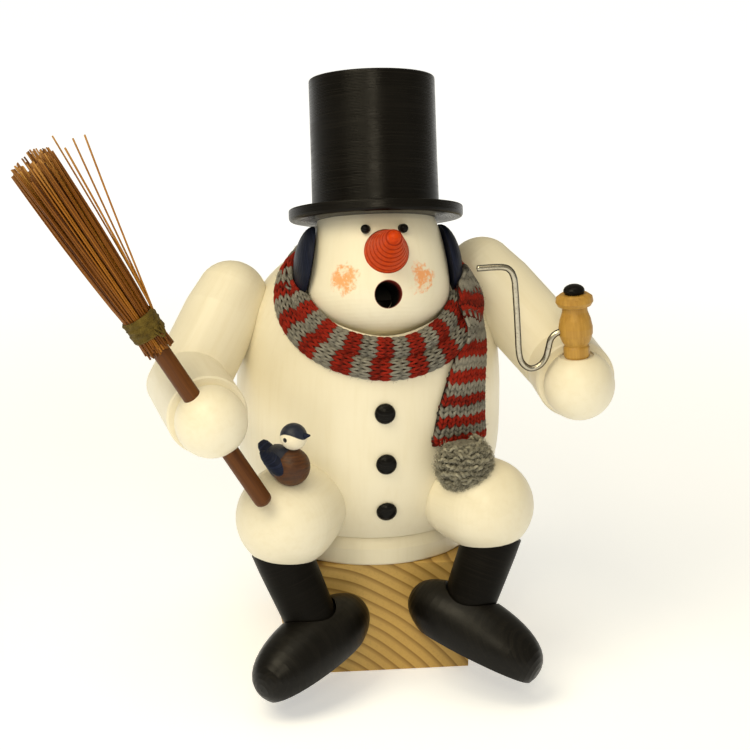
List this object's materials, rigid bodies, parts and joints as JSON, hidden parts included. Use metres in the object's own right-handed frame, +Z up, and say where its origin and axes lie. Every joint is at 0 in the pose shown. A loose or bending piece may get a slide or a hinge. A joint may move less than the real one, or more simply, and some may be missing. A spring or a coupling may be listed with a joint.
{
  "type": "seated snowman smoker figure",
  "caption": "Turned wooden snowman sitting on a pine block, with top hat, knitted scarf, broom, pipe and bird; it lifts off its base plate to hold an incense cone.",
  "frame": {"origin": "centre of the pine block's bottom face, on the surface it stands on", "axes": "+Z up; the figure faces -Y; +X is the figure's own left-hand side; at rest it sits on the block with every lift joint closed"},
  "size_m": [0.3194, 0.2063, 0.3344],
  "materials": {
    "white_lacquer": "cream-white silk lacquer over turned wood",
    "pine": "planed pine, growth rings showing",
    "tray_metal": "pressed sheet cup",
    "screw_brass": "small slotted screw",
    "black_lacquer": "black satin lacquer over turned wood",
    "black_bead": "black gloss-painted wooden bead",
    "navy_lacquer": "dark navy satin lacquer",
    "carrot_lacquer": "orange-red satin lacquer over turned steps",
    "raw_beech": "plain beech dowel",
    "scarf_wool": "hand-knitted wool, dark red and grey blocks",
    "fringe_wool": "loose grey bouclé wool",
    "stained_stick": "red-brown stained stick",
    "bristle": "dry golden-brown plant fibre",
    "binding_tape": "olive tape binding",
    "pipe_wood": "clear-varnished turned wood",
    "steel_wire": "bent steel wire",
    "bird_brown": "red-brown lacquer"
  },
  "bodies": {
    "block": {"seat_block": "pine"},
    "base": {"base_plate": "white_lacquer", "incense_tray": "tray_metal", "tray_screw": "screw_brass"},
    "broom": {"broom_handle": "stained_stick", "broom_bristles": "bristle", "broom_binding": "binding_tape", "broom_loose_fibres": "bristle"},
    "pipe": {"pipe_bowl": "pipe_wood", "pipe_cap": "black_lacquer", "pipe_stem": "steel_wire"},
    "figure": {"body_shell": "white_lacquer", "head": "white_lacquer", "hat_brim": "black_lacquer", "hat_crown": "black_lacquer", "hat_dowel": "raw_beech", "nose": "carrot_lacquer", "eye_right": "black_bead", "eye_left": "black_bead", "ear_muff_right": "navy_lacquer", "ear_muff_left": "navy_lacquer", "button_top": "black_bead", "button_middle": "black_bead", "button_bottom": "black_bead", "scarf_neck": "scarf_wool", "scarf_tail_front": "scarf_wool", "scarf_fringe_front": "fringe_wool", "scarf_tail_back": "scarf_wool", "scarf_fringe_back": "fringe_wool", "upper_arm_right": "white_lacquer", "forearm_right": "white_lacquer", "hand_right": "white_lacquer", "upper_arm_left": "white_lacquer", "forearm_left": "white_lacquer", "hand_left": "white_lacquer", "shoulder_dowels": "raw_beech", "elbow_dowels": "raw_beech", "wrist_dowels": "raw_beech", "thigh_right": "white_lacquer", "thigh_left": "white_lacquer", "hip_dowels": "raw_beech", "boot_shaft_right": "black_lacquer", "boot_shaft_left": "black_lacquer", "shoe_right": "black_lacquer", "shoe_left": "black_lacquer", "ankle_dowels": "raw_beech", "bird_body": "bird_brown", "bird_head": "white_lacquer", "bird_beak": "black_lacquer", "bird_wing_right": "navy_lacquer", "bird_wing_left": "navy_lacquer", "bird_tail": "navy_lacquer", "bird_peg": "raw_beech"}
  },
  "joints": [
    {"name": "base_lift", "type": "slide", "parent": "block", "child": "base", "axis": [0, 0, 1], "range_m": [0, 0.12]},
    {"name": "figure_lift", "type": "slide", "parent": "base", "child": "figure", "axis": [0, 0, 1], "range_m": [0, 0.12]},
    {"name": "broom_slide", "type": "slide", "parent": "figure", "child": "broom", "axis": [-0.5331, 0, 0.8461], "range_m": [0, 0.08]},
    {"name": "pipe_turn", "type": "hinge", "parent": "figure", "child": "pipe", "pos_m": [0.0997, -0.084, 0.1876], "axis": [-0.0847, 0, 0.9964], "range_deg": [-12, 75]}
  ]
}
